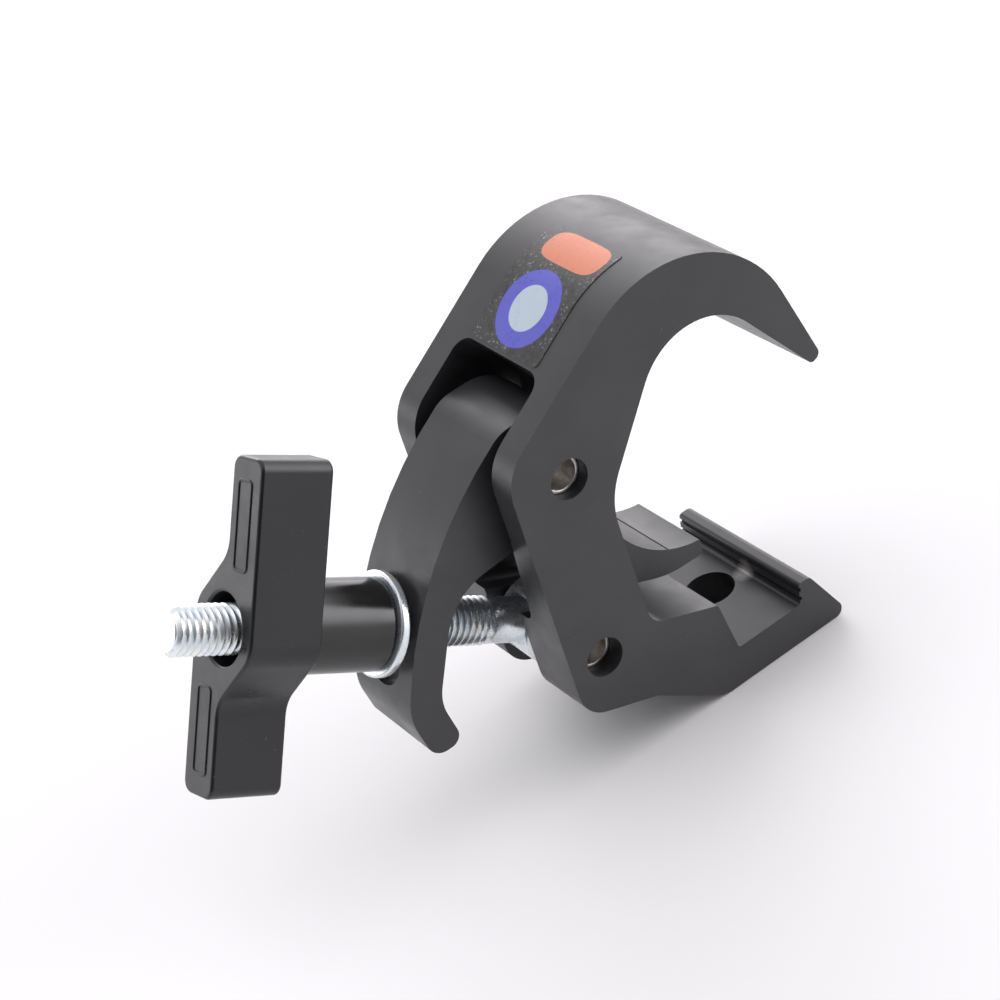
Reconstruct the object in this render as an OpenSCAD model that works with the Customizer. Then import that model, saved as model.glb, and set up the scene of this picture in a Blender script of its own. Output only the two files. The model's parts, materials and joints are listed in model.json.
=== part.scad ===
// Hook clamp for a round lighting bar: an extruded hook with a T-slot base, a pivoting
// clamp arm, a swing eye bolt and a wing nut. Millimetres, +Z up. The bar lies along Y
// with its axis through the origin, and Y = 0 is the middle of the clamp's width.
// Everything is drawn open, ready to be hooked over the bar.

/* [Bar] */
// Diameter of the bar that the clamp is made for
tube_d = 50; // [42:1:60]
// Free play of the jaw's seat around the bar
seat_play = 0.2; // [0:0.1:0.6]

/* [Hook body] */
// Width of the body along the bar
body_w = 49; // [42:1:60]
// Gap between the bar and the flat throat wall behind it
throat_gap = 6.6; // [5:0.2:9]
// Thickness of the spine, from the throat wall to the back face
spine_t = 23.6; // [22:0.2:28]
// Height of the T-slot's floor below the underside of the bar
floor_drop = 33.3; // [32:0.1:40]
// Thickness of the base under the T-slot's floor
base_t = 10.1; // [7:0.1:12]
// Width of the T-slot, which takes a hexagon head across its flats
tee_slot_w = 19.6; // [19.2:0.1:22]
// Diameter of the hanging bolt's clearance hole
hang_hole_d = 13; // [9:0.5:14]
// How far behind the bar's axis the hanging hole sits
hang_hole_back = 1.7; // [0:0.1:3]
// Gap between the arm and each wall of its slot, at the window
arm_side_gap = 4; // [2:0.5:5]
// Gap between the arm and each wall of its slot, along the floor
arm_floor_gap = 0.8; // [0.5:0.1:2]
// Gap between the bolt's eye and each wall of its slot
eye_side_gap = 0.7; // [0.4:0.1:1.5]

/* [Clamp arm] */
// Width of the arm along the bar
arm_w = 25; // [20:0.5:30]
// Metal around the pivot bore
boss_wall = 7.55; // [5:0.05:9]
// Angle that the arm turns through from open to closed on the bar
close_angle = 12.6; // [11:0.1:14]
// Play of the bolt across its slot in the arm
bolt_slot_play = 2.14; // [1:0.02:3]
// Travel of the bolt along its slot in the arm
bolt_slot_travel = 10; // [8:0.5:12]

/* [Pins] */
// Diameter of both spring pins
pin_d = 10; // [8:0.1:12]
// Wall of a spring pin
pin_wall = 1; // [0.8:0.1:2.5]
// Width of the slit along a spring pin
pin_slit = 1.3; // [0.6:0.1:2]
// How deep each pin's ends lie below the body's side faces
pin_recess = 4.5; // [1:0.5:6]
// Radial running clearance of a turning bore on its pin
run_gap = 0.05; // [0.02:0.01:0.09]
// Wall of the spacers beside the arm
spacer_wall = 3.45; // [2:0.05:5]
// Side play of each spacer
spacer_play = 0.2; // [0.1:0.05:0.4]

/* [Eye bolt] */
// Major diameter of the thread, M12
thread_d = 11.86; // [9.8:0.01:14.3]
// How much thinner the plain shank is than the thread
shank_drop = 0.66; // [0.1:0.02:1.2]
// Length from the eye's centre to the end of the bolt
bolt_len = 104; // [95:1:125]
// Length from the eye's centre to the start of the thread
plain_len = 20; // [16:1:30]
// Metal around the eye's bore
eye_wall = 4.95; // [4:0.05:7.5]
// Width of the eye along the pin
eye_w = 14; // [12:0.2:17]
// Angle of the bolt above the horizontal, in the open clamp
bolt_rise = 33.3; // [30:0.1:36]

/* [Washer and wing nut] */
// How far the washer stands out past the barrel
washer_rim = 1.5; // [1:0.1:3]
// Play of the washer's hole around the thread
washer_play = 1.14; // [0.6:0.02:2]
// Thickness of the washer
washer_t = 2.5; // [1.5:0.1:3]
// Gap between the washer and the arm's tail along the bolt's axis, in the open clamp
washer_stand = 1.7; // [1.4:0.05:12]
// Shoulder of the threaded barrel around its spigot
barrel_shoulder = 2.7; // [1.5:0.1:4]
// Length of the barrel between washer and wing
barrel_len = 21.2; // [12:0.2:30]
// Metal of the barrel's spigot around the thread
spigot_wall = 2.37; // [1.5:0.01:3]
// Length of the spigot
spigot_len = 12.5; // [8:0.5:16]
// Radial clearance between the barrel's bore and the bolt's thread
thread_gap = 0.07; // [0.02:0.01:0.09]
// Span of the wing handle, tip to tip
wing_span = 79; // [60:1:100]
// Thickness of one wing
wing_t = 12.7; // [11:0.1:15]
// Depth of the wing handle along the bolt
wing_depth = 18.5; // [16:0.5:24]
// Turn of the wing handle about the bolt
wing_turn = 12; // [-90:1:90]

/* [Label] */
// Width of the stick-on label along the bar
label_w = 27; // [20:1:36]
// Thickness of the label
label_t = 0.3; // [0.2:0.05:0.5]

/* [Hidden] */

arc_step = 5;                       // angle between the points of a rounded outline, degrees
eps = 0.01;
round_fn = 96;

tube_r = tube_d / 2;
pin_r = pin_d / 2;
thread_r = thread_d / 2;
turning_r = pin_r + run_gap;        // bores that turn on a pin
boss_r = turning_r + boss_wall;
spacer_r = turning_r + spacer_wall;
eye_r = turning_r + eye_wall;

arm_slot_w = arm_w + 2 * arm_side_gap;
arm_slot_floor_w = arm_w + 2 * arm_floor_gap;
eye_slot_w = eye_w + 2 * eye_side_gap;
bolt_slot_w = thread_d + bolt_slot_play;

shank_d = thread_d - shank_drop;
washer_hole_d = thread_d + washer_play;
spigot_d = thread_d + 2 * spigot_wall;
barrel_d = spigot_d + 2 * barrel_shoulder;
washer_d = barrel_d + 2 * washer_rim;

// The two straight flanks of the hook touch the bar at these angles
flank_back = 141.5;
flank_front = 34;
flank_mid = (flank_back + flank_front) / 2;
hook_apex = tube_r / cos((flank_back - flank_front) / 2) * [cos(flank_mid), sin(flank_mid)];

throat_x = -(tube_r + throat_gap);
back_x = throat_x - spine_t;
floor_z = -(tube_r + floor_drop);
base_z = floor_z - base_t;
tee_x = -hang_hole_back - tee_slot_w / 2;   // back wall of the T-slot
lip_x = tee_x + tee_slot_w;                 // its front wall

// The pins, measured from the throat wall and from the level of the bar's top and underside
arm_pivot = [throat_x - 8, tube_r - 13.15];
bolt_pivot = [throat_x - 14.3, -(tube_r + 11.9)];
bolt_dir = [-cos(bolt_rise), sin(bolt_rise)];
tail_reach = 45.6;                  // from the eye's centre to the middle of the arm's tail
tail_at = bolt_pivot + tail_reach * bolt_dir;

// Where the flanks end: at the throat wall, and at the tip
tip_run = 15.6;                     // straight length of the front flank past the bar
flank_run = [sin(flank_back), -cos(flank_back)];
flank_foot = tube_r * [cos(flank_back), sin(flank_back)];
throat_top = flank_foot - flank_run * (flank_foot.x - throat_x) / flank_run.x;
tip_in = tube_r * [cos(flank_front), sin(flank_front)]
    + tip_run * [sin(flank_front), -cos(flank_front)];
tip_out = tip_in + [3.1, 0.9];

// The sloping face above the back, its direction and its normal
slope = 31.9;
slope_foot = [back_x + 0.6, tube_r - 3.8];
crown = hook_apex + [14.2, 23.4];   // corner that the hook's big round replaces
crown_r = 32;

// The arm is drawn open: the bar's axis as the open arm carries it
function turned(p, about, a) = about
    + [[cos(a), -sin(a)], [sin(a), cos(a)]] * (p - about);
seat_centre = turned([0, 0], arm_pivot, -close_angle);
seat_r = tube_r + seat_play;

// Outline helpers. A corner is [x, z, r]: the round of radius r that replaces it
function unit(v) = v / norm(v);
function spot(v) = [v[0], v[1]];
function turn_between(a0, a1) = (a1 - a0 + 540) % 360 - 180;
function arc(m, r, a0, sweep) = let (n = max(2, ceil(abs(sweep) / arc_step)))
    [for (i = [0 : n]) m + r * [cos(a0 + sweep * i / n), sin(a0 + sweep * i / n)]];
function round_centre(a, b, c, r) = let (u = unit(a - b), v = unit(c - b))
    b + unit(u + v) * r / sin(acos(u * v) / 2);
function round_corner(a, b, c, r) = r <= 0 ? [b] :
    let (u = unit(a - b), v = unit(c - b), m = round_centre(a, b, c, r),
        run = r / tan(acos(u * v) / 2), p = b + u * run - m, q = b + v * run - m,
        a0 = atan2(p.y, p.x), a1 = atan2(q.y, q.x))
    arc(m, r, a0, turn_between(a0, a1));
function rounded(c) = let (n = len(c)) [for (i = [0 : n - 1])
    each round_corner(spot(c[(i + n - 1) % n]), spot(c[i]), spot(c[(i + 1) % n]), c[i][2])];
function corner(p, r) = [p.x, p.y, r];

// A prism along the bar whose outline is given as [x, z] points
module along_bar(points, w) {
    rotate([90, 0, 0]) linear_extrude(height = w, center = true) polygon(points);
}

// A cylinder along the bar, centred on y
module bar_cylinder(at, r, w, y = 0) {
    translate([at.x, y, at.y]) rotate([90, 0, 0])
        cylinder(r = r, h = w, center = true, $fn = round_fn);
}

// Puts children on the bolt's axis: +Z of the children runs out towards the wing nut
module on_bolt() {
    translate([bolt_pivot.x, 0, bolt_pivot.y]) rotate([0, bolt_rise - 90, 0]) children();
}

/* Hook body */
saddle_top = -(tube_r + 11.6);      // low end of the throat wall
land_top = -(tube_r + 18.6);        // top of the T-slot's back wall
land_lean = 2;                      // which leans back by this much at its top
lip_h = 5.6;                        // height of the lip above the T-slot's floor
body_corners = [
    corner(slope_foot, 13),
    corner(crown, crown_r),
    corner(tip_out, 1.9),
    corner(tip_in, 1.3),
    corner(hook_apex, 18.4),
    corner(throat_top, 20),
    [throat_x, saddle_top, 5],
    [tee_x - land_lean, land_top, 1],
    [tee_x, floor_z, 1],
    [lip_x, floor_z, 0.8],
    [lip_x + 1, floor_z + lip_h, 1],
    [lip_x + 4.5, floor_z + lip_h, 1.8],
    [lip_x + 12.3, base_z, 2.2],
    [tee_x - 7.4, base_z, 8],
    [throat_x - 4.5, base_z + 12.4, 6],
    [back_x - 0.4, base_z + 19.5, 8.5]];

// Arm slot: an upper cut square to the sloping face, and a lower cut along its floor
window_top = 23.9;              // height of the window's top edge along the sloping face
window_low = -11.5;             // the upper cut runs this far below the foot of that face
window_r = 4.5;
upper_cut = [-30, 48];          // start and end of the upper cut, from the sloping face
slot_front_gap = 2.4;           // the slot's front wall stands this far before the arm's boss
slot_front_low = 12;            // and ends this far below the arm's pivot
slot_floor_fall = 26.5;         // fall of the slot's floor towards the throat, degrees
slot_floor_back = [back_x, -tube_r];
slot_corner_r = 3;
lower_cut = [-20, 28.5];        // start and end of the lower cut, from the back face
// The lower cut rises into the upper one, and widens to its width below its top
lower_cut_top = (slope_foot.y - slot_floor_back.y) * cos(slot_floor_fall) - 9.6;
lower_cut_flare = lower_cut_top - 7;

module upper_arm_slot() {
    half = arm_slot_w / 2;
    front = arm_pivot.x + boss_r + slot_front_gap;
    front_low = arm_pivot.y - slot_front_low;
    reach = upper_cut[1] - upper_cut[0];
    difference() {
        translate([slope_foot.x, 0, slope_foot.y]) rotate([0, 180 - slope, 0])
            rotate([0, 0, 90]) translate([0, 0, upper_cut[0]]) linear_extrude(height = reach)
                polygon(rounded([[-half, window_low, 0], [half, window_low, 0],
                    [half, window_top, window_r], [-half, window_top, window_r]]));
        translate([front, -body_w, front_low]) cube([reach, 2 * body_w, 2 * reach]);
    }
}

module lower_arm_slot() {
    top = arm_slot_w / 2;
    low = arm_slot_floor_w / 2;
    translate([slot_floor_back.x, 0, slot_floor_back.y])
        rotate([0, 90 + slot_floor_fall, 0]) rotate([0, 0, 90])
            translate([0, 0, lower_cut[0]]) linear_extrude(height = lower_cut[1] - lower_cut[0])
                polygon(rounded([[-low, 0, slot_corner_r], [low, 0, slot_corner_r],
                    [top, lower_cut_flare, 0], [top, lower_cut_top, 0],
                    [-top, lower_cut_top, 0], [-top, lower_cut_flare, 0]]));
}

eye_room = 1;                   // clearance around the bolt's eye in its slot
shank_room = 13.5;              // height that the swinging shank needs above the pin
slot_overrun = 5;               // how far cutters run past the faces that they open
module eye_slot() {
    end_x = bolt_pivot.x + eye_r + eye_room;
    top_z = bolt_pivot.y + max(shank_room, eye_r + eye_room);
    out_x = back_x - slot_overrun;
    along_bar(rounded([[end_x, base_z - slot_overrun, 0], [end_x, top_z, eye_r + 0.9],
        [out_x, top_z, 0], [out_x, base_z - slot_overrun, 0]]), eye_slot_w);
}

// Two fine grooves along the lip's inner wall: depth, height above the floor, width
lip_groove_sizes = [[0.85, 1.1, 0.9], [1.2, 3.4, 1.1]];
module lip_grooves() {
    for (g = lip_groove_sizes)
        translate([lip_x - slot_overrun, -body_w, floor_z + g[1]])
            cube([slot_overrun + g[0], 2 * body_w, g[2]]);
}

module hook_body() {
    color([0.16, 0.16, 0.17]) difference() {
        along_bar(rounded(body_corners), body_w);
        upper_arm_slot();
        lower_arm_slot();
        eye_slot();
        lip_grooves();
        bar_cylinder(arm_pivot, pin_r, body_w + 2);
        bar_cylinder(bolt_pivot, pin_r, body_w + 2);
        translate([-hang_hole_back, 0, base_z - 1])
            cylinder(d = hang_hole_d, h = base_t + 2, $fn = round_fn);
    }
}

/* Clamp arm */
seat_from = 200;                // ends of the jaw's seat around the bar, degrees
seat_to = 260.4;
seat_groove_at = 241.5;         // a fine groove divides the seat
seat_groove_r = 0.3;
seat_end = seat_centre + seat_r * [cos(seat_to), sin(seat_to)];
seat_start = seat_centre + seat_r * [cos(seat_from), sin(seat_from)];

// The tail's big round keeps its length, as long as the edge above it has room for it
boss_back = arm_pivot + [-7.1, boss_r];
tail_bulge = tail_at + [8, 19.3];
tail_low = tail_at + [-8.3, -17.4];
tail_round_run = min(31.2, 0.92 * norm(boss_back - tail_bulge));
tail_round_r = tail_round_run
    * tan(acos(unit(boss_back - tail_bulge) * unit(tail_low - tail_bulge)) / 2);

// Round the boss, down the outside of the tail, round its foot and up its inside
arm_top = [
    [arm_pivot.x + boss_r, arm_pivot.y + boss_r, boss_r],
    corner(boss_back, 10),
    corner(tail_bulge, tail_round_r),
    corner(tail_low, 16),
    [tail_at.x - 5.9, tail_at.y - 31.2, 4.5],
    [tail_at.x + 2.4, tail_at.y - 31.2, 3],
    [tail_at.x + 0.4, tail_at.y - 18.3, 12],
    [tail_at.x + 12.7, tail_at.y + 5.5, 17],
    [arm_pivot.x - 4.4, arm_pivot.y - 16.9, 9]];

// Where the bolt's axis leaves that round, from the eye's centre
tail_round_at = round_centre(boss_back, tail_bulge, tail_low, tail_round_r);
bolt_side = [-bolt_dir.y, bolt_dir.x];
tail_back = (tail_round_at - bolt_pivot) * bolt_dir
    + sqrt(pow(tail_round_r, 2) - pow((tail_round_at - bolt_pivot) * bolt_side, 2));
washer_at = tail_back + washer_stand;

// Under the jaw to the front end of its seat
arm_jaw = [
    [seat_start.x - 4.4, seat_start.y - 14.4, 6],
    [seat_end.x - 9.8, seat_end.y - 4, 25],
    [seat_end.x + 0.9, seat_end.y - 4.3, 1.5],
    [seat_end.x + 1.2, seat_end.y - 0.1, 0.6]];
// From the back end of the seat up to the boss
arm_front = [
    [seat_start.x - 0.4, seat_start.y + 2, 1],
    [arm_pivot.x + 9.2, arm_pivot.y - 17.5, 8],
    [arm_pivot.x + boss_r, arm_pivot.y - 5, 8]];

function arm_outline() = let (
    all = concat(arm_top, arm_jaw, [corner(seat_end, 0), corner(seat_start, 0)], arm_front),
    n = len(all), last_jaw = len(arm_top) + len(arm_jaw))
    [for (i = [0 : n - 1]) each
        i == last_jaw ? arc(seat_centre, seat_r, seat_to, seat_from - seat_to) :
        i == last_jaw + 1 ? [] :
        round_corner(spot(all[(i + n - 1) % n]), spot(all[i]), spot(all[(i + 1) % n]),
            all[i][2])];

bolt_slot_shift = 3;            // the slot's centre lies this far towards the foot
bolt_slot_cut = 16;             // half of the cut's length along the bolt
module bolt_slot() {
    on_bolt() translate([-bolt_slot_shift, 0, tail_reach - bolt_slot_cut])
        linear_extrude(height = 2 * bolt_slot_cut) {
            square([bolt_slot_travel, bolt_slot_w], center = true);
            for (s = [-1, 1]) translate([s * bolt_slot_travel / 2, 0])
                circle(d = bolt_slot_w, $fn = round_fn);
        }
}

module clamp_arm() {
    color([0.2, 0.2, 0.21]) difference() {
        along_bar(arm_outline(), arm_w);
        bar_cylinder(arm_pivot, turning_r, arm_w + 2);
        bolt_slot();
        bar_cylinder(seat_centre + seat_r * [cos(seat_groove_at), sin(seat_groove_at)],
            seat_groove_r, arm_w + 2);
    }
}

/* Pins and spacers */
module spring_pin(at, slit_angle, y) {
    w = body_w - 2 * pin_recess;
    difference() {
        bar_cylinder(at, pin_r, w, y);
        bar_cylinder(at, pin_r - pin_wall, 2 * w, y);
        translate([at.x, 0, at.y]) rotate([0, slit_angle, 0])
            translate([0, -w, -pin_slit / 2]) cube([pin_d, 2 * w, pin_slit]);
    }
}
arm_pin_slit_at = 215;          // where each pin's slit faces, degrees
bolt_pin_slit_at = 235;
pin_shift = 0.9;                // the upper pin sits nearer, and the lower pin farther
module arm_pivot_pin() {
    color([0.75, 0.74, 0.72]) spring_pin(arm_pivot, arm_pin_slit_at, -pin_shift);
}
module eye_bolt_pin() {
    color([0.75, 0.74, 0.72]) spring_pin(bolt_pivot, bolt_pin_slit_at, pin_shift);
}

module arm_spacer(side) {
    gap = arm_side_gap;
    y = side * (arm_w + gap) / 2;
    color([0.1, 0.1, 0.1]) difference() {
        bar_cylinder(arm_pivot, spacer_r, gap - 2 * spacer_play, y);
        bar_cylinder(arm_pivot, turning_r, gap + 2, y);
    }
}
module arm_spacer_near() { arm_spacer(-1); }
module arm_spacer_far() { arm_spacer(1); }

/* Eye bolt */
module eye_bolt() {
    chamfer = 1.2;
    color([0.75, 0.78, 0.8]) difference() {
        union() {
            bar_cylinder(bolt_pivot, eye_r, eye_w);
            on_bolt() {
                cylinder(d = shank_d, h = plain_len + eps, $fn = round_fn);
                translate([0, 0, plain_len])
                    cylinder(d = thread_d, h = bolt_len - plain_len - chamfer, $fn = round_fn);
                translate([0, 0, bolt_len - chamfer - eps])
                    cylinder(d1 = thread_d, d2 = thread_d - 2 * chamfer, h = chamfer + eps,
                        $fn = round_fn);
            }
        }
        bar_cylinder(bolt_pivot, turning_r, eye_w + 2);
    }
}

/* Washer, barrel and wing handle */
module plain_washer() {
    color([0.75, 0.78, 0.8]) on_bolt() translate([0, 0, washer_at]) difference() {
        cylinder(d = washer_d, h = washer_t, $fn = round_fn);
        translate([0, 0, -1]) cylinder(d = washer_hole_d, h = washer_t + 2, $fn = round_fn);
    }
}

nut_seat_gap = 0.02;            // the barrel turns against the washer
barrel_at = washer_at + washer_t + nut_seat_gap;
wing_at = barrel_at + barrel_len;

module threaded_barrel() {
    color([0.05, 0.05, 0.05]) on_bolt() translate([0, 0, barrel_at]) difference() {
        union() {
            cylinder(d = barrel_d, h = barrel_len, $fn = round_fn);
            cylinder(d = spigot_d, h = barrel_len + spigot_len, $fn = round_fn);
        }
        translate([0, 0, -1]) cylinder(r = thread_r + thread_gap,
            h = barrel_len + spigot_len + 2, $fn = round_fn);
    }
}

// One wing's outline seen along the bolt. The other is the same, turned half round
wing_corners = [
    [wing_span / 2, -wing_t, 3],
    [wing_span / 2, 0, 3],
    [17.5, 0, 8],
    [5, wing_t, 8]];

module wing_handle() {
    both = concat(wing_corners, [for (c = wing_corners) [-c[0], -c[1], c[2]]]);
    color([0.13, 0.13, 0.14]) on_bolt() translate([0, 0, wing_at]) rotate([0, 0, wing_turn])
        difference() {
            linear_extrude(height = wing_depth) polygon(rounded(both));
            translate([0, 0, -1]) cylinder(d = spigot_d, h = wing_depth + 2, $fn = round_fn);
        }
}

/* Label: a film that follows the sloping face and the start of the big round */
label_from = 24.8;              // along the sloping face, from its foot
label_bend = 33;                // how far the film follows the round, degrees
module label() {
    run = unit(crown - slope_foot);
    up = [-run.y, run.x];
    m = round_centre(slope_foot, crown, tip_out, crown_r);
    a0 = atan2(up.y, up.x);
    start = slope_foot + run * label_from;
    color([0.3, 0.3, 0.32])
        along_bar(concat([start], arc(m, crown_r, a0, -label_bend),
            arc(m, crown_r + label_t, a0 - label_bend, label_bend),
            [start + up * label_t]), label_w);
}

hook_body();
clamp_arm();
arm_pivot_pin();
arm_spacer_near();
arm_spacer_far();
eye_bolt_pin();
eye_bolt();
plain_washer();
threaded_barrel();
wing_handle();
label();
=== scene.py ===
"""Looks of a hook clamp for a round lighting bar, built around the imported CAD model.
Everything is in metres, in the model's own frame: +Y along the bar, +Z up, wing nut at -X."""
import json
import math

import bmesh
import bpy
from mathutils import Matrix, Vector


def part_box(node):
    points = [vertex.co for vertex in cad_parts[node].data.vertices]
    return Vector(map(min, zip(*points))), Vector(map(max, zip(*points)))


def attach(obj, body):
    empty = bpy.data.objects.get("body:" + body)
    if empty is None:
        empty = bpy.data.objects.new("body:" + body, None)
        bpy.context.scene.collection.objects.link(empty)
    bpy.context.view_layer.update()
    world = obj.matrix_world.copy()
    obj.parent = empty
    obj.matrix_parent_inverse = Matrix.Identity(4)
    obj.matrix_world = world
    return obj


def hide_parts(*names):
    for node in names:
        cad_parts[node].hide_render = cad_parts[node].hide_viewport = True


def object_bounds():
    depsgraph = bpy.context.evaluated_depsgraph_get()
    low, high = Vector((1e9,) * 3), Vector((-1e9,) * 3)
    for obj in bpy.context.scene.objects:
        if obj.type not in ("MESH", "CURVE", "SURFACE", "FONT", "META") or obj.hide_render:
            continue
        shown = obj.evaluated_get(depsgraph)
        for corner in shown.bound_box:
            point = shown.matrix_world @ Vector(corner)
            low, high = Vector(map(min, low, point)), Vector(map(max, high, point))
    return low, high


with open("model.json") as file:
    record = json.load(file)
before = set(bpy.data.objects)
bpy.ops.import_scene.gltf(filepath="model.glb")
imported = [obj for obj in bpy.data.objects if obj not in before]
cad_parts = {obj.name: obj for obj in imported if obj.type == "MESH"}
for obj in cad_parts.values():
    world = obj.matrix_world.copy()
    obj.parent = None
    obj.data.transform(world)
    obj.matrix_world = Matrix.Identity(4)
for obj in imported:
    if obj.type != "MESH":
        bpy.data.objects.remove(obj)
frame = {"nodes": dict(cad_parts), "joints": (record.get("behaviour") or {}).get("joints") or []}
cad_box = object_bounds()
MM = 0.001
nodes = frame["nodes"]
joints = {joint["name"]: joint for joint in frame["joints"]}


# ---------------------------------------------------------------- materials
class Nodes:
    """A short way to add and join the nodes of one material."""

    def __init__(self, name):
        self.material = bpy.data.materials.new(name)
        self.material.use_nodes = True
        self.tree = self.material.node_tree
        self.shader = self.tree.nodes["Principled BSDF"]
        place = self.add("ShaderNodeTexCoord")
        self.place = place.outputs["Object"]
        self.uv = place.outputs["UV"]

    def add(self, kind, inputs=None, **settings):
        made = self.tree.nodes.new(kind)
        for name, value in settings.items():
            setattr(made, name, value)
        for name, value in (inputs or {}).items():
            self.put(made.inputs[name], value)
        return made

    def put(self, socket, value):
        if isinstance(value, bpy.types.NodeSocket):
            self.tree.links.new(value, socket)
        else:
            socket.default_value = value

    def noise(self, scale, detail=4.0, rough=0.6, stretch=None):
        where = self.place
        if stretch:
            where = self.add("ShaderNodeMapping", {"Vector": where, "Scale": stretch}).outputs[0]
        made = self.add("ShaderNodeTexNoise", {"Vector": where, "Scale": scale,
                                               "Detail": detail, "Roughness": rough})
        return made.outputs["Fac"]

    def ramp(self, value, low, high, start=0.0, end=1.0):
        """value from low..high mapped to start..end, held at both ends."""
        made = self.add("ShaderNodeMapRange", {"Value": value, "From Min": low, "From Max": high,
                                               "To Min": start, "To Max": end})
        return made.outputs["Result"]

    def math(self, operation, a, b=0.0):
        made = self.add("ShaderNodeMath", {0: a, 1: b}, operation=operation)
        return made.outputs[0]

    def mix(self, share, a, b):
        """Colours a and b, mixed by share."""
        made = self.add("ShaderNodeMix", data_type="RGBA")
        self.put(made.inputs[0], share)
        self.put(made.inputs[6], a)
        self.put(made.inputs[7], b)
        return made.outputs[2]

    def near(self, point, inner, outer):
        """1 within inner of a point in the model's frame, falling to 0 at outer."""
        gap = self.add("ShaderNodeVectorMath", operation="DISTANCE")
        self.put(gap.inputs[0], self.place)
        self.put(gap.inputs[1], point)
        return self.ramp(gap.outputs["Value"], inner, outer, 1.0, 0.0)

    def bump(self, height, strength, distance):
        made = self.add("ShaderNodeBump", {"Height": height, "Strength": strength,
                                           "Distance": distance})
        self.put(self.shader.inputs["Normal"], made.outputs["Normal"])

    def set(self, **inputs):
        for name, value in inputs.items():
            self.put(self.shader.inputs[name.replace("_", " ")], value)


def grey(level, warm=0.0, cool=0.0):
    return (level * (1 + warm), level, level * (1 + cool), 1.0)


BARE_METAL = (0.50, 0.49, 0.48, 1.0)
BARE_SHINE = 0.35          # how metallic a rubbed place is


def satin_coat(name, level, rough, worn=None, spots=()):
    """Black satin coat. worn is the share of bare metal that shows, and spots are
    (point, radius) places where the coat is rubbed through."""
    m = Nodes(name)
    broad = m.noise(35.0, 3.0)
    fine = m.noise(2600.0, 2.0)
    scuff = m.noise(420.0, 6.0, 0.7, stretch=(1.0, 0.12, 1.0))
    dark = grey(level, warm=0.02, cool=0.10)
    light = grey(level * 1.35, warm=0.03, cool=0.10)
    colour = m.mix(m.ramp(broad, 0.35, 0.65), dark, light)
    colour = m.mix(m.ramp(scuff, 0.66, 0.80, 0.0, 0.30), colour, grey(level * 3.0))
    dust = m.math("MULTIPLY", m.ramp(m.noise(1400.0, 2.0), 0.74, 0.78),
                  m.ramp(m.noise(120.0, 3.0), 0.50, 0.62))
    colour = m.mix(dust, colour, grey(0.28))
    roughness = m.ramp(m.noise(160.0, 5.0), 0.3, 0.7, rough - 0.05, rough + 0.07)
    metal = 0.0
    if worn is not None:
        metal = m.ramp(m.noise(260.0, 6.0, 0.75), worn, worn + 0.12)
    for point, radius in spots:
        ragged = m.math("MULTIPLY", m.near(point, radius * 0.3, radius),
                        m.ramp(m.noise(900.0, 5.0, 0.8), 0.30, 0.45))
        metal = m.math("MAXIMUM", metal, ragged)
    if worn is not None or spots:
        colour = m.mix(metal, colour, BARE_METAL)
        m.set(Metallic=m.math("MULTIPLY", metal, BARE_SHINE))
    m.set(Base_Color=colour, Roughness=roughness, Specular_IOR_Level=0.5)
    m.bump(fine, 0.22, 0.00003)
    return m.material


def gloss_coat(name):
    """Glossy black coat with fine scratches, on the threaded barrel."""
    m = Nodes(name)
    scratch = m.noise(700.0, 4.0, 0.7, stretch=(0.25, 1.0, 0.25))
    blotch = m.noise(90.0, 4.0)
    colour = m.mix(m.ramp(blotch, 0.35, 0.7), grey(0.006), grey(0.012, warm=0.05))
    colour = m.mix(m.ramp(scratch, 0.70, 0.80, 0.0, 0.4), colour, grey(0.18))
    m.set(Base_Color=colour, Roughness=m.ramp(blotch, 0.3, 0.7, 0.16, 0.27),
          Specular_IOR_Level=0.6)
    m.bump(m.noise(500.0, 3.0), 0.15, 0.00004)
    return m.material


def zinc(name):
    """Bright zinc plate with a faint blue cast and a little straw yellow."""
    m = Nodes(name)
    cloud = m.noise(120.0, 5.0, 0.65)
    colour = m.mix(m.ramp(cloud, 0.35, 0.65), (0.72, 0.79, 0.84, 1.0), (0.90, 0.93, 0.95, 1.0))
    colour = m.mix(m.ramp(m.noise(240.0, 2.0), 0.50, 0.72, 0.0, 0.45), colour,
                   (0.92, 0.88, 0.72, 1.0))
    m.set(Base_Color=colour, Metallic=0.82,
          Roughness=m.ramp(m.noise(300.0, 3.0), 0.3, 0.7, 0.24, 0.33))
    m.bump(m.noise(1500.0, 2.0), 0.05, 0.00001)
    return m.material


def pin_steel(name):
    """Dull spring steel, lighter and darker in random patches, the darker ones browner."""
    m = Nodes(name)
    cloud = m.noise(300.0, 5.0, 0.65)
    colour = m.mix(m.ramp(cloud, 0.35, 0.65), (0.62, 0.59, 0.55, 1.0), (0.92, 0.90, 0.87, 1.0))
    m.set(Base_Color=colour, Metallic=0.85, Roughness=m.ramp(cloud, 0.3, 0.7, 0.28, 0.45))
    m.bump(m.noise(1800.0, 3.0), 0.2, 0.00003)
    return m.material


def black_plastic(name):
    m = Nodes(name)
    m.set(Base_Color=m.mix(m.noise(200.0), grey(0.012), grey(0.022)),
          Roughness=m.ramp(m.noise(500.0), 0.3, 0.7, 0.42, 0.55))
    m.bump(m.noise(2000.0), 0.15, 0.00003)
    return m.material


# Label, in millimetres: u runs up the film from its lower edge, v across it from its middle
LABEL_BAR = (28.2, -1.0, 4.7, 10.8)       # centre u, centre v, half height, half width
LABEL_DISC = (11.4, 0.0, 10.0)            # centre u, centre v, radius
LABEL_CORE = 5.9                          # radius of the pale middle


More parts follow.
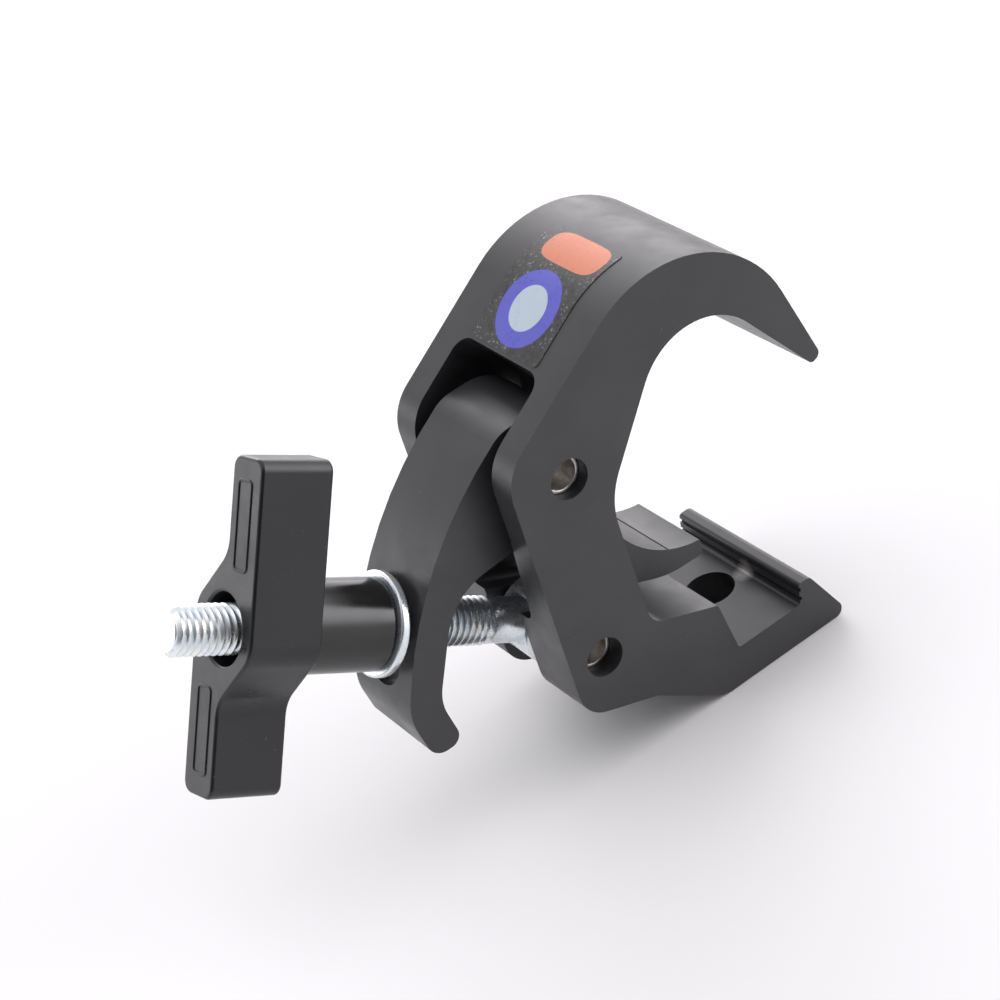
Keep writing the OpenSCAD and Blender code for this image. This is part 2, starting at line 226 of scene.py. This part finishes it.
def label_film(name):
    """Clear speckled film over the coat, with a plain orange bar and a plain blue disc."""
    m = Nodes(name)
    split = m.add("ShaderNodeSeparateXYZ", {"Vector": m.uv})
    u, v = split.outputs[0], split.outputs[1]

    def off(value, middle, reach):
        return m.math("ABSOLUTE", m.math("DIVIDE", m.math("SUBTRACT", value, middle), reach))

    def below(value, limit, soft):
        return m.ramp(value, limit - soft, limit + soft, 1.0, 0.0)

    bar_u, bar_v, half_u, half_v = LABEL_BAR
    bar = m.math("ADD", m.math("POWER", off(u, bar_u, half_u), 2.6),
                 m.math("POWER", off(v, bar_v, half_v), 5.0))
    disc_u, disc_v, radius = LABEL_DISC
    gap_u = m.math("POWER", off(u, disc_u, 1.0), 2.0)
    gap_v = m.math("POWER", off(v, disc_v, 1.0), 2.0)
    out = m.math("SQRT", m.math("ADD", gap_u, gap_v))
    speck = m.ramp(m.noise(1300.0, 2.0, 0.7), 0.60, 0.66)
    dust = m.ramp(m.noise(260.0, 5.0, 0.7), 0.40, 0.60)
    film = m.mix(m.math("MULTIPLY", speck, dust), grey(0.034, cool=-0.05), grey(0.42))
    colour = m.mix(below(bar, 1.0, 0.05), film, (0.72, 0.22, 0.11, 1.0))
    colour = m.mix(below(out, radius, 0.10), colour, (0.110, 0.112, 0.62, 1.0))
    colour = m.mix(below(out, LABEL_CORE, 0.10), colour, (0.56, 0.66, 0.76, 1.0))
    m.set(Base_Color=colour, Roughness=m.ramp(dust, 0.0, 1.0, 0.26, 0.40),
          Specular_IOR_Level=0.5)
    m.bump(m.noise(700.0, 4.0), 0.12, 0.00004)
    return m.material


def pale_floor(name):
    m = Nodes(name)
    m.set(Base_Color=m.mix(m.noise(3.0), (0.93, 0.93, 0.93, 1.0), (0.96, 0.96, 0.96, 1.0)),
          Roughness=0.6)
    return m.material


# ---------------------------------------------------------------- mesh helpers
LEAST_CORNER = 28.0        # edges sharper than this are rounded, degrees
SMOOTH_BELOW = 35.0        # edges flatter than this are shaded smooth, degrees


def new_object(name, mesh):
    made = bpy.data.objects.new(name, mesh)
    bpy.context.scene.collection.objects.link(made)
    return made


def apply_modifiers(piece):
    """Replaces the piece's mesh by what its modifiers make of it."""
    bpy.context.view_layer.update()
    evaluated = piece.evaluated_get(bpy.context.evaluated_depsgraph_get())
    mesh = bpy.data.meshes.new_from_object(evaluated)
    piece.modifiers.clear()
    piece.data = mesh


def bevelled(piece, width, segments, edge_slot=0):
    """Rounds the piece's sharp edges and keeps its flat faces flat in the light. The
    rounded edges take the material of edge_slot."""
    bevel = piece.modifiers.new("edges", "BEVEL")
    bevel.width = width
    bevel.segments = segments
    bevel.limit_method = "ANGLE"
    bevel.angle_limit = math.radians(LEAST_CORNER)
    bevel.use_clamp_overlap = True
    bevel.miter_outer = "MITER_ARC"
    bevel.material = edge_slot
    shade = piece.modifiers.new("shade", "WEIGHTED_NORMAL")
    shade.weight = 80
    shade.keep_sharp = True
    apply_modifiers(piece)
    for face in piece.data.polygons:
        face.use_smooth = True


def from_node(node, name):
    """A clean copy of a CAD node's mesh: seams merged, flat areas made single faces."""
    work = bmesh.new()
    work.from_mesh(nodes[node].data)
    bmesh.ops.remove_doubles(work, verts=work.verts, dist=2e-6)
    bmesh.ops.dissolve_limit(work, angle_limit=math.radians(0.4), verts=work.verts,
                             edges=work.edges)
    for face in work.faces:
        face.smooth = True
        face.material_index = 0
    mesh = bpy.data.meshes.new(name)
    work.to_mesh(mesh)
    work.free()
    return new_object(name, mesh)


def finish_piece(piece, body, slot, *materials, replaces=()):
    piece.data.materials.clear()
    for material in materials:
        piece.data.materials.append(material)
    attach(piece, body)
    if replaces:
        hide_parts(*replaces)
    return piece


def lathed(name, profile, place, steps=96):
    """A closed solid of revolution about the z axis of place. profile is a closed loop of
    (radius, height) points, and points on the axis close the ends."""
    work = bmesh.new()
    rings = []
    for radius, height in profile:
        if radius < 1e-9:
            rings.append([work.verts.new(place @ Vector((0, 0, height)))])
            continue
        ring = []
        for i in range(steps):
            angle = 2 * math.pi * i / steps
            at = Vector((radius * math.cos(angle), radius * math.sin(angle), height))
            ring.append(work.verts.new(place @ at))
        rings.append(ring)
    count = len(rings)
    for k in range(count):
        low, high = rings[k], rings[(k + 1) % count]
        if len(low) == 1 and len(high) == 1:
            continue
        for i in range(steps):
            j = (i + 1) % steps
            corners = [low[i % len(low)], low[j % len(low)],
                       high[j % len(high)], high[i % len(high)]]
            corners = list(dict.fromkeys(corners))
            work.faces.new(corners)
    bmesh.ops.recalc_face_normals(work, faces=work.faces)
    return shaded(name, work)


def shaded(name, work, smooth_below=SMOOTH_BELOW):
    """Turns a bmesh into an object, smooth except across edges sharper than smooth_below."""
    limit = math.radians(smooth_below)
    for face in work.faces:
        face.smooth = True
    for edge in work.edges:
        edge.smooth = not (edge.is_manifold and edge.calc_face_angle() > limit)
    mesh = bpy.data.meshes.new(name)
    work.to_mesh(mesh)
    work.free()
    return new_object(name, mesh)


# ---------------------------------------------------------------- places from the frame
eye_at = Vector(joints["bolt_swing"]["pos_m"])
bolt_out = -Vector(joints["nut_spin"]["axis"]).normalized()
bolt_side = Vector((0, 1, 0))
bolt_up = bolt_side.cross(bolt_out)
# z of on_bolt runs out along the bolt, y along the bar
on_bolt = Matrix.Translation(eye_at) @ Matrix((bolt_up, bolt_side, bolt_out)).transposed().to_4x4()


def reach(node):
    """Lowest and highest place of a node along the bolt, from the eye's centre."""
    along = [(Vector(v.co) - eye_at).dot(bolt_out) for v in nodes[node].data.vertices]
    return min(along), max(along)


# ---------------------------------------------------------------- the swing bolt
THREAD_R = 5.93 * MM          # M12, as in the CAD model
THREAD_PITCH = 1.75 * MM
THREAD_DEPTH = 1.0 * MM
THREAD_FROM = 20.0 * MM       # from the eye's centre
THREAD_FADE = 0.8             # turns over which the thread grows to its full depth
SHANK_R = 5.6 * MM
EYE_W = 14.0 * MM
EYE_BORE_R = 5.05 * MM
EYE_EDGE = 1.4 * MM           # rounding of the eye's outer edges
BORE_EDGE = 0.6 * MM          # chamfer of the eye's bore
SHANK_FROM = 6.5 * MM         # where the shank starts inside the eye, from its centre
BOLT_CHAMFER = 1.2 * MM
# The thread's profile over one pitch: (share of the pitch, share of the depth cut away)
THREAD_PROFILE = ((0.0, 1.0), (0.12, 1.0), (0.44, 0.05), (0.50, 0.0), (0.56, 0.0),
                  (0.62, 0.05), (0.94, 1.0))


def bolt_thread(name):
    """Rod with a true right-hand thread, closed at both ends."""
    steps = 72
    start, end = THREAD_FROM - THREAD_PITCH, reach("eye_bolt")[1]
    work = bmesh.new()
    rows = []
    turns = range(-1, int((end - start) / THREAD_PITCH) + 2)
    levels = [start + (k + share) * THREAD_PITCH for k in turns for share, _ in THREAD_PROFILE]
    cuts = [cut for _ in turns for _, cut in THREAD_PROFILE]
    for height, cut in zip(levels, cuts):
        row = []
        for i in range(steps):
            angle = 2 * math.pi * i / steps
            z = height + THREAD_PITCH * i / steps
            z = min(max(z, start), end)
            turn_in = (z - start) / THREAD_PITCH
            depth = THREAD_DEPTH * cut * min(1.0, turn_in / THREAD_FADE)
            radius = min(THREAD_R - depth, THREAD_R - max(0.0, BOLT_CHAMFER - (end - z)))
            if turn_in < THREAD_FADE:
                grown = SHANK_R + (THREAD_R - SHANK_R) * turn_in / THREAD_FADE
                radius = min(radius, grown)
            at = Vector((radius * math.cos(angle), radius * math.sin(angle), z))
            row.append(work.verts.new(on_bolt @ at))
        rows.append(row)
    for low, high in zip(rows, rows[1:]):
        for i in range(steps - 1):
            work.faces.new((low[i], low[i + 1], high[i + 1], high[i]))
    per_turn = len(THREAD_PROFILE)
    for k in range(len(rows) - per_turn - 1):
        # the last column of one turn meets the first column of the next
        work.faces.new((rows[k][-1], rows[k + per_turn][0],
                        rows[k + per_turn + 1][0], rows[k + 1][-1]))
    bmesh.ops.remove_doubles(work, verts=work.verts, dist=1e-7)
    loose = [edge for edge in work.edges if edge.is_boundary]
    bmesh.ops.holes_fill(work, edges=loose, sides=0)
    bmesh.ops.recalc_face_normals(work, faces=work.faces)
    return shaded(name, work, 40.0)


def bolt_eye(name):
    """The flat-sided eye with rounded edges, and the plain shank that grows out of it."""
    half = EYE_W / 2
    outer = -reach("eye_bolt")[0]
    place = Matrix.Translation(eye_at) @ Matrix.Rotation(math.radians(90), 4, "X")
    arc = [(outer - EYE_EDGE + EYE_EDGE * math.sin(a), half - EYE_EDGE + EYE_EDGE * math.cos(a))
           for a in [math.radians(15 * k) for k in range(7)]]
    top = [(EYE_BORE_R + BORE_EDGE, half)] + arc
    under = [(r, -h) for r, h in reversed(top)]
    profile = top + under + [(EYE_BORE_R, BORE_EDGE - half), (EYE_BORE_R, half - BORE_EDGE)]
    eye = lathed(name, profile, place, steps=120)
    thread = THREAD_FROM - THREAD_PITCH
    shank = lathed(name + "_shank", [(0, SHANK_FROM), (SHANK_R, SHANK_FROM), (SHANK_R, thread),
                                     (0, thread)], on_bolt)
    join = eye.modifiers.new("shank", "BOOLEAN")
    join.operation = "UNION"
    join.object = shank
    join.solver = "EXACT"
    apply_modifiers(eye)
    bpy.data.objects.remove(shank)
    return eye


# ---------------------------------------------------------------- label and wing details
LABEL_SLOPE = math.radians(32.24)     # of the face that the label starts on
LABEL_FLAT = 14.8 * MM                # length of film on that face, before the round
LABEL_ROUND_R = 32.0 * MM
LABEL_ROUND_TURN = math.radians(33)   # how far the film goes round it
LABEL_CORNER = 1.5 * MM
LABEL_T = 0.3 * MM                    # as in the CAD model
FILM_T = 0.16 * MM                    # height of the film's top that is drawn
FILM_LIFT = 0.02 * MM                 # height of the film's underside


def label_surface(name):
    """Film that follows the sloping face and the start of the round, as a closed sheet."""
    low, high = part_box("label")
    width = high.y - low.y
    run = Vector((math.cos(LABEL_SLOPE), 0, math.sin(LABEL_SLOPE)))
    out = Vector((-math.sin(LABEL_SLOPE), 0, math.cos(LABEL_SLOPE)))
    start = Vector((low.x + LABEL_T * math.sin(LABEL_SLOPE), 0, low.z))
    centre = start + run * LABEL_FLAT - out * LABEL_ROUND_R
    length = LABEL_FLAT + LABEL_ROUND_R * LABEL_ROUND_TURN
    rows, columns = 66, 40
    work = bmesh.new()
    uv = work.loops.layers.uv.new("film")

    def spot(u, v, lift):
        bend = (u - LABEL_FLAT) / LABEL_ROUND_R
        if bend <= 0:
            at = start + run * u + out * lift
        else:
            away = out * math.cos(bend) + run * math.sin(bend)
            at = centre + away * (LABEL_ROUND_R + lift)
        return at + Vector((0, v, 0))

    def inset(u, v):
        """Rounds the film's corners by pulling the outermost points in."""
        du = max(LABEL_CORNER - u, u - (length - LABEL_CORNER), 0.0)
        dv = max(abs(v) - (width / 2 - LABEL_CORNER), 0.0)
        gap = math.hypot(du, dv)
        if du > 0 and dv > 0 and gap > LABEL_CORNER:
            pull = LABEL_CORNER / gap
            u += (du - du * pull) * (1 if u < length / 2 else -1)
            v -= (dv - dv * pull) * (1 if v > 0 else -1)
        return u, v

    places, sheets = {}, []
    for lift in (FILM_LIFT, FILM_T):
        grid = []
        for i in range(rows + 1):
            line = []
            for j in range(columns + 1):
                u, v = inset(length * i / rows, width * (j / columns - 0.5))
                vert = work.verts.new(spot(u, v, lift))
                places[vert] = (u / MM, v / MM)
                line.append(vert)
            grid.append(line)
        sheets.append(grid)
    under, top = sheets
    for i in range(rows):
        for j in range(columns):
            work.faces.new((top[i][j], top[i + 1][j], top[i + 1][j + 1], top[i][j + 1]))
            work.faces.new((under[i][j], under[i][j + 1], under[i + 1][j + 1], under[i + 1][j]))
    rim = [(i, 0) for i in range(rows)] + [(rows, j) for j in range(columns)]
    rim += [(i, columns) for i in range(rows, 0, -1)] + [(0, j) for j in range(columns, 0, -1)]
    for (i, j), (m, n) in zip(rim, rim[1:] + rim[:1]):
        work.faces.new((under[i][j], under[m][n], top[m][n], top[i][j]))
    bmesh.ops.recalc_face_normals(work, faces=work.faces)
    for face in work.faces:
        for loop in face.loops:
            loop[uv].uv = places[loop.vert]
    return shaded(name, work)


WING_TURN = math.radians(12)              # of the wings about the bolt, as in the CAD model
FRAME_MIDDLE = (24.1 * MM, -5.9 * MM)     # on one wing: along the span, across the wing
FRAME_HALF = (10.4 * MM, 3.1 * MM)
FRAME_ROUND = 1.4 * MM
FRAME_LINE = 0.75 * MM                    # width of the raised line
FRAME_RAISE = 0.28 * MM
FRAME_ROOT = 0.1 * MM                     # how far the line reaches into the wing


def raised_frame(name, middle):
    """A thin raised line round an empty panel on the wing's outer face."""
    face = reach("wing_handle")[1]
    place = on_bolt @ Matrix.Rotation(WING_TURN, 4, "Z")
    work = bmesh.new()

    def loop(inset, height):
        half_x, half_y = FRAME_HALF[0] - inset, FRAME_HALF[1] - inset
        turn = max(FRAME_ROUND - inset, 0.3 * MM)
        verts = []
        for sx, sy, first in ((1, 1, 0), (-1, 1, 90), (-1, -1, 180), (1, -1, 270)):
            for step in range(7):
                a = math.radians(first + 15 * step)
                x = sx * (half_x - turn) + turn * math.cos(a)
                y = sy * (half_y - turn) + turn * math.sin(a)
                at = Vector((middle[0] + x, middle[1] + y, face + height))
                verts.append(work.verts.new(place @ at))
        return verts

    soft = FRAME_RAISE * 0.6
    loops = [loop(0, -FRAME_ROOT), loop(0, FRAME_RAISE - soft), loop(soft, FRAME_RAISE),
             loop(FRAME_LINE - soft, FRAME_RAISE), loop(FRAME_LINE, FRAME_RAISE - soft),
             loop(FRAME_LINE, -FRAME_ROOT)]
    for a, b in zip(loops, loops[1:] + loops[:1]):
        for i in range(len(a)):
            j = (i + 1) % len(a)
            work.faces.new((a[i], a[j], b[j], b[i]))
    bmesh.ops.recalc_face_normals(work, faces=work.faces)
    return shaded(name, work, 60.0)


# ---------------------------------------------------------------- the pieces
WEAR_AT = Vector((7.6, -2.7, -57.9)) * MM         # where a bolt's head rubs the lip's foot
WEAR_R = 3.6 * MM
body_coat = satin_coat("body_coat", 0.030, 0.36, spots=((WEAR_AT, WEAR_R),))
# Lighter copy of the body's coat on the rounded edges: a painted highlight along every edge, with
# patches of bare-metal wear on top.
body_edge_wear_and_highlight = satin_coat("body_edge_wear_and_highlight", 0.090, 0.26, worn=0.50)
arm_coat = satin_coat("arm_coat", 0.032, 0.34)
# Lighter copy of the arm's coat on the rounded edges: a painted highlight along every edge, with
# patches of bare-metal wear on top.
arm_edge_wear_and_highlight = satin_coat("arm_edge_wear_and_highlight", 0.090, 0.26, worn=0.50)
wing_coat = satin_coat("wing_coat", 0.010, 0.30)
# Slightly lighter copy of the wing's coat on its rounded edges: a painted highlight along the
# edges.
wing_edge_highlight = satin_coat("wing_edge_highlight", 0.014, 0.26)
barrel_gloss = gloss_coat("barrel_gloss")
bright_zinc = zinc("bright_zinc")
pin_metal = pin_steel("pin_metal")
spacer_black = black_plastic("spacer_black")

hook = from_node("hook_body", "hook_extrusion")
bevelled(hook, 0.30 * MM, 2, edge_slot=1)
finish_piece(hook, "hook", "black_body", body_coat, body_edge_wear_and_highlight, replaces=("hook_body",))

arm = from_node("clamp_arm", "pivoting_arm")
bevelled(arm, 0.32 * MM, 2, edge_slot=1)
finish_piece(arm, "arm", "black_arm", arm_coat, arm_edge_wear_and_highlight, replaces=("clamp_arm",))

for pin in ("arm_pivot_pin", "eye_bolt_pin"):
    piece = from_node(pin, pin + "_sleeve")
    bevelled(piece, 0.35 * MM, 3)
    finish_piece(piece, "hook", "pin_steel", pin_metal, replaces=(pin,))

finish_piece(bolt_eye("swing_bolt_eye"), "bolt", "zinc_steel", bright_zinc,
             replaces=("eye_bolt",))
finish_piece(bolt_thread("swing_bolt_thread"), "bolt", "zinc_steel", bright_zinc,
             replaces=("eye_bolt",))

washer = from_node("plain_washer", "zinc_washer")
bevelled(washer, 0.7 * MM, 4)
finish_piece(washer, "washer", "zinc_steel", bright_zinc, replaces=("plain_washer",))

barrel = from_node("threaded_barrel", "gloss_barrel")
bevelled(barrel, 0.9 * MM, 4)
finish_piece(barrel, "nut", "black_steel", barrel_gloss, replaces=("threaded_barrel",))

wing = from_node("wing_handle", "cast_wing")
bevelled(wing, 1.5 * MM, 5, edge_slot=1)
finish_piece(wing, "nut", "black_wing", wing_coat, wing_edge_highlight, replaces=("wing_handle",))
for side, name in ((1, "wing_frame_a"), (-1, "wing_frame_b")):
    middle = (side * FRAME_MIDDLE[0], side * FRAME_MIDDLE[1])
    finish_piece(raised_frame(name, middle), "nut", "black_wing", wing_coat)

finish_piece(label_surface("label_sheet"), "hook", "label_film", label_film("label_film"),
             replaces=("label",))

for spacer in ("arm_spacer_near", "arm_spacer_far"):
    nodes[spacer].data.materials.clear()
    nodes[spacer].data.materials.append(spacer_black)


# ---------------------------------------------------------------- floor, light and camera
FLOOR_HALF = 4.0                   # metres from the middle to each side
FLOOR_GAP = 0.2 * MM               # below the clamp's underside
floor_z = cad_box[0][2] - FLOOR_GAP
work = bmesh.new()
corners = [work.verts.new((x * FLOOR_HALF, y * FLOOR_HALF, floor_z))
           for x, y in ((-1, -1), (1, -1), (1, 1), (-1, 1))]
work.faces.new(corners)
floor = shaded("floor", work)
floor.data.materials.append(pale_floor("floor_pale"))

world = bpy.data.worlds.new("studio")
bpy.context.scene.world = world
world.use_nodes = True

# Soft lights far off: (azimuth from +Y towards +X, elevation, spread as a power, strength)
SOFT_LIGHTS = ((20, 8, 8.0, 5.4),          # large, behind
               (120, 8, 8.0, 4.7),         # large, on the mouth's side
               (85, 8, 8.0, 1.9),          # between these two
               (0, 85, 6.0, 1.7),          # overhead
               (-70, 38, 8.0, 1.1),        # fill from above the wing nut
               (-40, 8, 8.0, 0.6),         # fill behind the wing nut
               (-42, 3, 40.0, 2.6))        # narrow and low, on the same side
sky = world.node_tree
backdrop = sky.nodes["Background"]
backdrop.inputs["Color"].default_value = (0.99, 0.97, 1.0, 1.0)
towards = sky.nodes.new("ShaderNodeTexCoord").outputs["Generated"]
total = None
for azimuth, elevation, spread, strength in SOFT_LIGHTS:
    turn, rise = math.radians(azimuth), math.radians(elevation)
    aim = (math.sin(turn) * math.cos(rise), math.cos(turn) * math.cos(rise), math.sin(rise))
    dot = sky.nodes.new("ShaderNodeVectorMath")
    dot.operation = "DOT_PRODUCT"
    sky.links.new(towards, dot.inputs[0])
    dot.inputs[1].default_value = aim
    value = dot.outputs["Value"]
    for operation, amount in (("MAXIMUM", 0.0), ("POWER", spread), ("MULTIPLY", strength)):
        step = sky.nodes.new("ShaderNodeMath")
        step.operation = operation
        sky.links.new(value, step.inputs[0])
        step.inputs[1].default_value = amount
        value = step.outputs[0]
    if total is not None:
        add = sky.nodes.new("ShaderNodeMath")
        add.operation = "ADD"
        sky.links.new(total, add.inputs[0])
        sky.links.new(value, add.inputs[1])
        value = add.outputs[0]
    total = value
sky.links.new(total, backdrop.inputs["Strength"])

CAMERA_AT = Vector((-270.7, -522.4, 378.2)) * MM
CAMERA_RIGHT = Vector((0.78924, -0.54421, -0.28450))
CAMERA_UP = Vector((0.51923, 0.34402, 0.78233))
CAMERA_LENS = 105.5
SENSOR_WIDTH = 36.0

view = bpy.data.cameras.new("camera")
view.sensor_width = SENSOR_WIDTH
view.lens = CAMERA_LENS
camera = bpy.data.objects.new("camera", view)
bpy.context.scene.collection.objects.link(camera)
camera.matrix_world = Matrix.Translation(CAMERA_AT) @ Matrix(
    (CAMERA_RIGHT, CAMERA_UP, CAMERA_RIGHT.cross(CAMERA_UP))).transposed().to_4x4()
bpy.context.scene.camera = camera
bpy.context.scene.view_settings.view_transform = "Standard"
